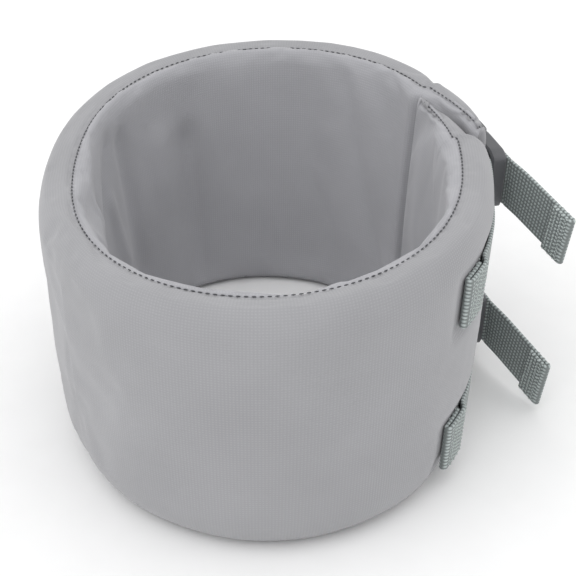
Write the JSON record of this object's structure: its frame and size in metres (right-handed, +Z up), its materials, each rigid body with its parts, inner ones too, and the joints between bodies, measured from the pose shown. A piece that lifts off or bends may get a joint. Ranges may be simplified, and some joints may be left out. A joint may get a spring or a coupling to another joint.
{
  "type": "soft cervical collar",
  "caption": "Padded foam neck collar in grey knit, closed behind the neck by two webbing straps with side-release buckles.",
  "frame": {"origin": "on the surface it stands on, under the middle of the whole object, straps and buckles included", "axes": "+Z up through the neck opening, +Y towards the closure at the back of the neck, -Y towards the chin, +X towards the wearer's left"},
  "size_m": [0.206, 0.1882, 0.112],
  "materials": {
    "cover_knit": "smooth laminated knit",
    "lining_knit": "smooth laminated knit",
    "edge_binding": "sewn knit edge",
    "foam": "open-cell polyurethane foam",
    "webbing": "coarse woven polypropylene",
    "acetal": "satin moulded acetal"
  },
  "bodies": {
    "right_half": {"foam_core_right": "foam", "outer_cover_right": "cover_knit", "inner_lining_right": "lining_knit", "end_binding_right": "edge_binding", "upper_buckle_socket": "acetal", "upper_anchor_loop": "webbing", "lower_buckle_socket": "acetal", "lower_anchor_loop": "webbing"},
    "left_half": {"foam_core_left": "foam", "outer_cover_left": "cover_knit", "inner_lining_left": "lining_knit", "end_binding_left": "edge_binding", "upper_strap": "webbing", "lower_strap": "webbing", "upper_buckle_plug": "acetal", "lower_buckle_plug": "acetal"},
    "upper_tail": {"upper_strap_tail": "webbing"},
    "upper_arm_top": {"upper_buckle_arm_top": "acetal"},
    "upper_arm_bottom": {"upper_buckle_arm_bottom": "acetal"},
    "lower_tail": {"lower_strap_tail": "webbing"},
    "lower_arm_top": {"lower_buckle_arm_top": "acetal"},
    "lower_arm_bottom": {"lower_buckle_arm_bottom": "acetal"}
  },
  "joints": [
    {"name": "collar_opening", "type": "hinge", "parent": "right_half", "child": "left_half", "pos_m": [-0.02819, -0.08592, 0], "axis": [0, 0, -1], "range_deg": [0, 45], "stiffness_Nm_per_rad": 0.3, "deforming": ["upper_buckle_arm_top", "upper_buckle_arm_bottom", "lower_buckle_arm_top", "lower_buckle_arm_bottom"]},
    {"name": "upper_tail_lift", "type": "hinge", "parent": "left_half", "child": "upper_tail", "pos_m": [0.01186, 0.08814, 0.08342], "axis": [-0.0093, 0.0527, 0.9986], "range_deg": [-8, 75], "stiffness_Nm_per_rad": 0.006},
    {"name": "upper_squeeze_top", "type": "hinge", "parent": "left_half", "child": "upper_arm_top", "pos_m": [-0.01097, 0.08533, 0.09133], "axis": [-0.0429, -0.9977, 0.0523], "range_deg": [0, 7], "stiffness_Nm_per_rad": 0.3},
    {"name": "upper_squeeze_bottom", "type": "hinge", "parent": "left_half", "child": "upper_arm_bottom", "pos_m": [-0.01082, 0.08452, 0.07596], "axis": [0.0429, 0.9977, -0.0523], "range_deg": [0, 7], "stiffness_Nm_per_rad": 0.3},
    {"name": "lower_tail_lift", "type": "hinge", "parent": "left_half", "child": "lower_tail", "pos_m": [0.01246, 0.08476, 0.01943], "axis": [-0.0093, 0.0527, 0.9986], "range_deg": [-8, 75], "stiffness_Nm_per_rad": 0.006},
    {"name": "lower_squeeze_top", "type": "hinge", "parent": "left_half", "child": "lower_arm_top", "pos_m": [-0.01037, 0.08195, 0.02733], "axis": [-0.0429, -0.9977, 0.0523], "range_deg": [0, 7], "stiffness_Nm_per_rad": 0.3},
    {"name": "lower_squeeze_bottom", "type": "hinge", "parent": "left_half", "child": "lower_arm_bottom", "pos_m": [-0.01023, 0.08114, 0.01196], "axis": [0.0429, 0.9977, -0.0523], "range_deg": [0, 7], "stiffness_Nm_per_rad": 0.3}
  ],
  "couplings": [
    {"joint": "upper_squeeze_bottom", "follows": "upper_squeeze_top", "ratio": 1},
    {"joint": "lower_squeeze_bottom", "follows": "lower_squeeze_top", "ratio": 1}
  ]
}
